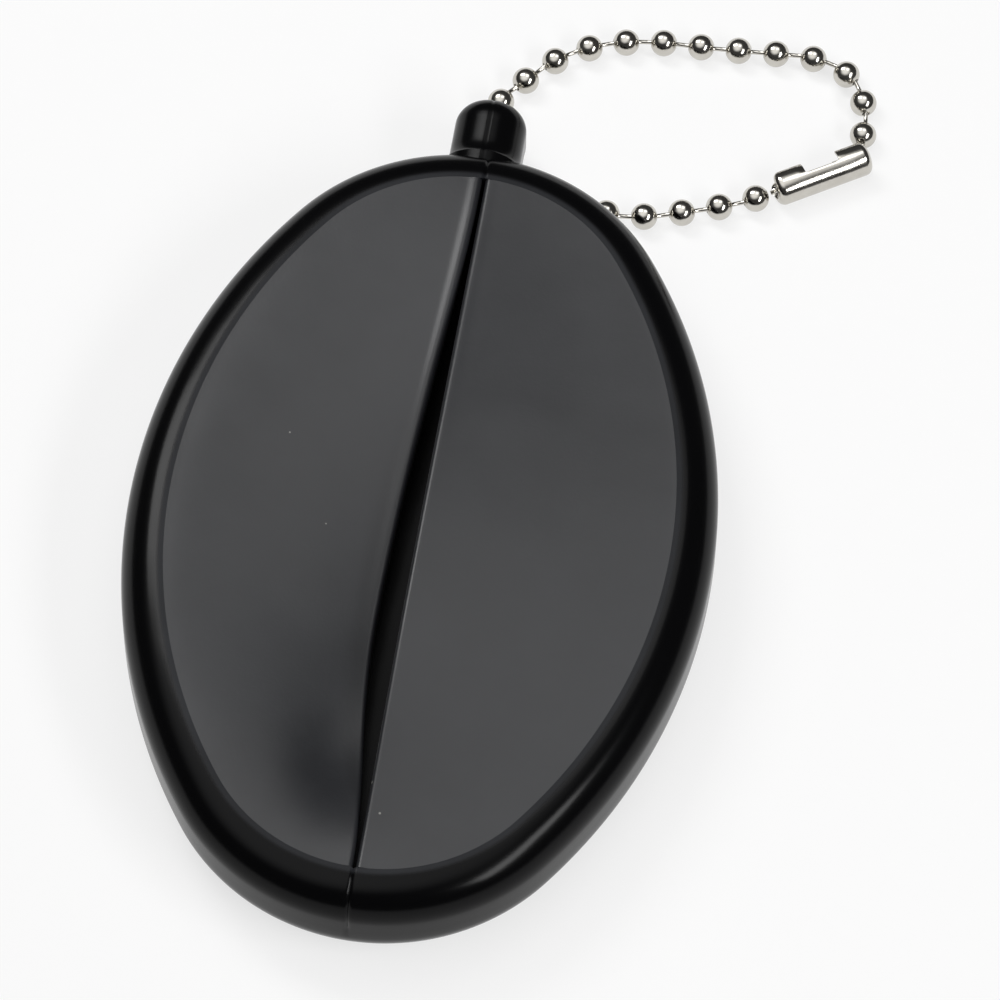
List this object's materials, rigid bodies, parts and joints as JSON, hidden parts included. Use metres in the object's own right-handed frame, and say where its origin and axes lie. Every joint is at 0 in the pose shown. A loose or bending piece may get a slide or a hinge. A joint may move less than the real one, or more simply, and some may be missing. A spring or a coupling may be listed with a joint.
{
  "type": "squeeze coin purse",
  "caption": "Oval squeeze coin purse of soft vinyl, slit along its front, with a moulded knob that carries a loop of ball chain.",
  "frame": {"origin": "on the flat of the back, under the middle of the oval", "axes": "+Z out of the slit front, +Y along the oval towards the knob, so +X is to the right of the slit"},
  "size_m": [0.059, 0.0952, 0.0115],
  "materials": {
    "vinyl": "satin black moulded vinyl",
    "nickel_plate": "polished nickel plate"
  },
  "bodies": {
    "pouch_shell": {"pouch_shell": "vinyl"},
    "left_flap": {"left_flap": "vinyl"},
    "right_flap": {"right_flap": "vinyl"},
    "connector": {"connector": "nickel_plate"},
    "bead_01": {"bead_01": "nickel_plate"},
    "bead_02": {"bead_02": "nickel_plate"},
    "bead_03": {"bead_03": "nickel_plate"},
    "bead_04": {"bead_04": "nickel_plate"},
    "bead_05": {"bead_05": "nickel_plate"},
    "bead_06": {"bead_06": "nickel_plate"},
    "bead_07": {"bead_07": "nickel_plate"},
    "bead_08": {"bead_08": "nickel_plate"},
    "bead_09": {"bead_09": "nickel_plate"},
    "bead_10": {"bead_10": "nickel_plate"},
    "bead_11": {"bead_11": "nickel_plate"},
    "bead_12": {"bead_12": "nickel_plate"},
    "bead_13": {"bead_13": "nickel_plate"},
    "bead_14": {"bead_14": "nickel_plate"},
    "bead_15": {"bead_15": "nickel_plate"},
    "bead_16": {"bead_16": "nickel_plate"},
    "bead_17": {"bead_17": "nickel_plate"},
    "bead_18": {"bead_18": "nickel_plate"},
    "bead_19": {"bead_19": "nickel_plate"},
    "bead_20": {"bead_20": "nickel_plate"},
    "bead_21": {"bead_21": "nickel_plate"},
    "bead_22": {"bead_22": "nickel_plate"},
    "bead_23": {"bead_23": "nickel_plate"},
    "bead_24": {"bead_24": "nickel_plate"},
    "link_01": {"link_01": "nickel_plate"},
    "link_02": {"link_02": "nickel_plate"},
    "link_03": {"link_03": "nickel_plate"},
    "link_04": {"link_04": "nickel_plate"},
    "link_05": {"link_05": "nickel_plate"},
    "link_06": {"link_06": "nickel_plate"},
    "link_07": {"link_07": "nickel_plate"},
    "link_08": {"link_08": "nickel_plate"},
    "link_09": {"link_09": "nickel_plate"},
    "link_10": {"link_10": "nickel_plate"},
    "link_11": {"link_11": "nickel_plate"},
    "link_12": {"link_12": "nickel_plate"},
    "link_13": {"link_13": "nickel_plate"},
    "link_14": {"link_14": "nickel_plate"},
    "link_15": {"link_15": "nickel_plate"},
    "link_16": {"link_16": "nickel_plate"},
    "link_17": {"link_17": "nickel_plate"},
    "link_18": {"link_18": "nickel_plate"},
    "link_19": {"link_19": "nickel_plate"},
    "link_20": {"link_20": "nickel_plate"},
    "link_21": {"link_21": "nickel_plate"},
    "link_22": {"link_22": "nickel_plate"},
    "link_23": {"link_23": "nickel_plate"}
  },
  "joints": [
    {"name": "left_flap_hinge", "type": "hinge", "parent": "pouch_shell", "child": "left_flap", "pos_m": [-0.0217, 0, 0.01], "axis": [0, -1, 0], "range_deg": [-8, 30], "stiffness_Nm_per_rad": 0.02},
    {"name": "right_flap_hinge", "type": "hinge", "parent": "pouch_shell", "child": "right_flap", "pos_m": [0.0217, 0, 0.01], "axis": [0, 1, 0], "range_deg": [-8, 30], "stiffness_Nm_per_rad": 0.02},
    {"name": "chain_swing", "type": "hinge", "parent": "pouch_shell", "child": "bead_24", "pos_m": [0.00112, 0.04065, 0.0023], "axis": [0, 0, 1], "range_deg": [-1.5, 1.5]},
    {"name": "link_23_swing", "type": "hinge", "parent": "bead_24", "child": "link_23", "pos_m": [0.00033, 0.04141, 0.00244], "axis": [0, 0, 1], "range_deg": [0, 1.5]},
    {"name": "bead_01_tilt", "type": "hinge", "parent": "link_23", "child": "bead_01", "pos_m": [-0.00023, 0.04264, 0.00244], "axis": [0.9093, 0.4161, 0], "range_deg": [-4, 4.5]},
    {"name": "link_01_swing", "type": "hinge", "parent": "bead_01", "child": "link_01", "pos_m": [-0.00077, 0.04476, 0.00216], "axis": [0, 0, -1], "range_deg": [-20, 0]},
    {"name": "bead_02_tilt", "type": "hinge", "parent": "link_01", "child": "bead_02", "pos_m": [-0.00084, 0.04598, 0.00182], "axis": [-0.9981, -0.0609, 0], "range_deg": [-8.5, 16]},
    {"name": "link_02_swing", "type": "hinge", "parent": "bead_02", "child": "link_02", "pos_m": [-0.00017, 0.04804, 0.00139], "axis": [0, 0, 1], "range_deg": [0, 22.5]},
    {"name": "bead_03_tilt", "type": "hinge", "parent": "link_02", "child": "bead_03", "pos_m": [0.0006, 0.04898, 0.00127], "axis": [0.7718, -0.6358, 0], "range_deg": [-20, 19.5]},
    {"name": "link_03_swing", "type": "hinge", "parent": "bead_03", "child": "link_03", "pos_m": [0.002, 0.05068, 0.00116], "axis": [0, 0, -1], "range_deg": [-20, 0]},
    {"name": "bead_04_tilt", "type": "hinge", "parent": "link_03", "child": "bead_04", "pos_m": [0.00277, 0.05161, 0.00119], "axis": [-0.7684, 0.64, 0], "range_deg": [-19.5, 20]},
    {"name": "link_04_swing", "type": "hinge", "parent": "bead_04", "child": "link_04", "pos_m": [0.00444, 0.05304, 0.00121], "axis": [0, 0, 1], "range_deg": [0, 22.5]},
    {"name": "bead_05_tilt", "type": "hinge", "parent": "link_04", "child": "bead_05", "pos_m": [0.00545, 0.0537, 0.0012], "axis": [0.5435, -0.8394, 0], "range_deg": [-20, 21.5]},
    {"name": "link_05_swing", "type": "hinge", "parent": "bead_05", "child": "link_05", "pos_m": [0.00743, 0.05467, 0.0012], "axis": [0, 0, -1], "range_deg": [-20, 0]},
    {"name": "bead_06_tilt", "type": "hinge", "parent": "link_05", "child": "bead_06", "pos_m": [0.00856, 0.05507, 0.0012], "axis": [-0.3328, 0.943, 0], "range_deg": [-19.5, 22]},
    {"name": "link_06_swing", "type": "hinge", "parent": "bead_06", "child": "link_06", "pos_m": [0.0107, 0.05558, 0.0012], "axis": [0, 0, 1], "range_deg": [0, 22.5]},
    {"name": "bead_07_tilt", "type": "hinge", "parent": "link_06", "child": "bead_07", "pos_m": [0.0119, 0.05574, 0.0012], "axis": [0.1369, -0.9906, 0], "range_deg": [-20, 22.5]},
    {"name": "link_07_swing", "type": "hinge", "parent": "bead_07", "child": "link_07", "pos_m": [0.01409, 0.05591, 0.0012], "axis": [0, 0, -1], "range_deg": [-20, 0]},
    {"name": "bead_08_tilt", "type": "hinge", "parent": "link_07", "child": "bead_08", "pos_m": [0.01529, 0.05591, 0.0012], "axis": [-0.0076, 1, 0], "range_deg": [-20, 22.5]},
    {"name": "link_08_swing", "type": "hinge", "parent": "bead_08", "child": "link_08", "pos_m": [0.01749, 0.05599, 0.0012], "axis": [0, 0, 1], "range_deg": [0, 21.5]},
    {"name": "bead_09_tilt", "type": "hinge", "parent": "link_08", "child": "bead_09", "pos_m": [0.01869, 0.05606, 0.0012], "axis": [0.0589, -0.9983, 0], "range_deg": [-20, 22.5]},
    {"name": "link_09_swing", "type": "hinge", "parent": "bead_09", "child": "link_09", "pos_m": [0.02088, 0.0562, 0.0012], "axis": [0, 0, -1], "range_deg": [-20, 0]},
    {"name": "bead_10_tilt", "type": "hinge", "parent": "link_09", "child": "bead_10", "pos_m": [0.02208, 0.05627, 0.0012], "axis": [-0.0589, 0.9983, 0], "range_deg": [-20, 22.5]},
    {"name": "link_10_swing", "type": "hinge", "parent": "bead_10", "child": "link_10", "pos_m": [0.02428, 0.05643, 0.0012], "axis": [0, 0, 1], "range_deg": [0, 22.5]},
    {"name": "bead_11_tilt", "type": "hinge", "parent": "link_10", "child": "bead_11", "pos_m": [0.02548, 0.05652, 0.0012], "axis": [0.0743, -0.9972, 0], "range_deg": [-18.5, 20.5]},
    {"name": "link_11_swing", "type": "hinge", "parent": "bead_11", "child": "link_11", "pos_m": [0.02767, 0.05626, 0.0012], "axis": [0, 0, -1], "range_deg": [-20, 0]},
    {"name": "bead_12_tilt", "type": "hinge", "parent": "link_11", "child": "bead_12", "pos_m": [0.02886, 0.05591, 0.0012], "axis": [0.284, 0.9588, 0], "range_deg": [-12.5, 13.5]},
    {"name": "link_12_swing", "type": "hinge", "parent": "bead_12", "child": "link_12", "pos_m": [0.03062, 0.05459, 0.0012], "axis": [0, 0, 1], "range_deg": [0, 22.5]},
    {"name": "bead_13_tilt", "type": "hinge", "parent": "link_12", "child": "bead_13", "pos_m": [0.03129, 0.05354, 0.00121], "axis": [-0.8445, -0.5356, 0], "range_deg": [-17, 20.5]},
    {"name": "link_13_swing", "type": "hinge", "parent": "bead_13", "child": "link_13", "pos_m": [0.03203, 0.05147, 0.00119], "axis": [0, 0, -1], "range_deg": [-20, 0.5]},
    {"name": "bead_14_tilt", "type": "hinge", "parent": "link_13", "child": "bead_14", "pos_m": [0.03217, 0.05025, 0.00114], "axis": [0.9929, 0.1188, 0], "range_deg": [-13.5, 22.5]},
    {"name": "link_14_swing", "type": "hinge", "parent": "bead_14", "child": "link_14", "pos_m": [0.032, 0.04806, 0.00126], "axis": [0, 0, 1], "range_deg": [-12.5, 22.5]},
    {"name": "bead_15_tilt", "type": "hinge", "parent": "link_14", "child": "bead_15", "pos_m": [0.03175, 0.04701, 0.00142], "axis": [-0.9711, 0.2388, 0], "range_deg": [-19.5, 22.5]},
    {"name": "connector_swing", "type": "hinge", "parent": "bead_15", "child": "connector", "pos_m": [0.03147, 0.04596, 0.00157], "axis": [0, 0, 1], "range_deg": [-16, 18]},
    {"name": "bead_16_turn", "type": "hinge", "parent": "connector", "child": "bead_16", "pos_m": [0.02641, 0.04276, 0.00157], "axis": [0, 0, 1], "range_deg": [-8, 9]},
    {"name": "link_15_tilt", "type": "hinge", "parent": "bead_16", "child": "link_15", "pos_m": [0.02549, 0.04218, 0.00145], "axis": [-0.5413, 0.8408, 0], "range_deg": [-7.5, 9]},
    {"name": "link_22_swing", "type": "hinge", "parent": "bead_24", "child": "link_22", "pos_m": [0.00191, 0.0399, 0.00216], "axis": [0, 0, -1], "range_deg": [0, 10]},
    {"name": "bead_23_tilt", "type": "hinge", "parent": "link_22", "child": "bead_23", "pos_m": [0.00304, 0.03946, 0.00183], "axis": [0.3617, 0.9323, 0], "range_deg": [-16.5, 22.5]},
    {"name": "link_21_swing", "type": "hinge", "parent": "bead_23", "child": "link_21", "pos_m": [0.00507, 0.03871, 0.00142], "axis": [0, 0, 1], "range_deg": [-15, 19.5]},
    {"name": "bead_22_tilt", "type": "hinge", "parent": "link_21", "child": "bead_22", "pos_m": [0.00621, 0.03836, 0.00127], "axis": [-0.2934, -0.956, 0], "range_deg": [-20, 19]},
    {"name": "link_20_swing", "type": "hinge", "parent": "bead_22", "child": "link_20", "pos_m": [0.00832, 0.03776, 0.00115], "axis": [0, 0, -1], "range_deg": [-20, 21]},
    {"name": "bead_21_tilt", "type": "hinge", "parent": "link_20", "child": "bead_21", "pos_m": [0.00948, 0.03741, 0.00119], "axis": [0.2924, 0.9563, 0], "range_deg": [-19, 18.5]},
    {"name": "link_19_swing", "type": "hinge", "parent": "bead_21", "child": "link_19", "pos_m": [0.01167, 0.03721, 0.00121], "axis": [0, 0, 1], "range_deg": [-20, 13]},
    {"name": "bead_20_tilt", "type": "hinge", "parent": "link_19", "child": "bead_20", "pos_m": [0.01287, 0.03732, 0.0012], "axis": [0.0942, -0.9956, 0], "range_deg": [-20, 21.5]},
    {"name": "link_18_swing", "type": "hinge", "parent": "bead_20", "child": "link_18", "pos_m": [0.01503, 0.03776, 0.0012], "axis": [0, 0, -1], "range_deg": [-14.5, 22.5]},
    {"name": "bead_19_tilt", "type": "hinge", "parent": "link_18", "child": "bead_19", "pos_m": [0.01617, 0.03814, 0.0012], "axis": [-0.3209, 0.9471, 0], "range_deg": [-20, 22.5]},
    {"name": "link_17_swing", "type": "hinge", "parent": "bead_19", "child": "link_17", "pos_m": [0.01826, 0.03884, 0.0012], "axis": [0, 0, 1], "range_deg": [-20, 22.5]},
    {"name": "bead_18_tilt", "type": "hinge", "parent": "link_17", "child": "bead_18", "pos_m": [0.0194, 0.03922, 0.0012], "axis": [0.3136, -0.9496, 0], "range_deg": [-20, 22.5]},
    {"name": "link_16_swing", "type": "hinge", "parent": "bead_18", "child": "link_16", "pos_m": [0.02144, 0.04002, 0.0012], "axis": [0, 0, -1], "range_deg": [-19, 22.5]},
    {"name": "bead_17_tilt", "type": "hinge", "parent": "link_16", "child": "bead_17", "pos_m": [0.02255, 0.0405, 0.00118], "axis": [-0.3943, 0.919, 0], "range_deg": [-16.5, 22.5]}
  ],
  "couplings": [
    {"joint": "right_flap_hinge", "follows": "left_flap_hinge", "ratio": 1}
  ]
}
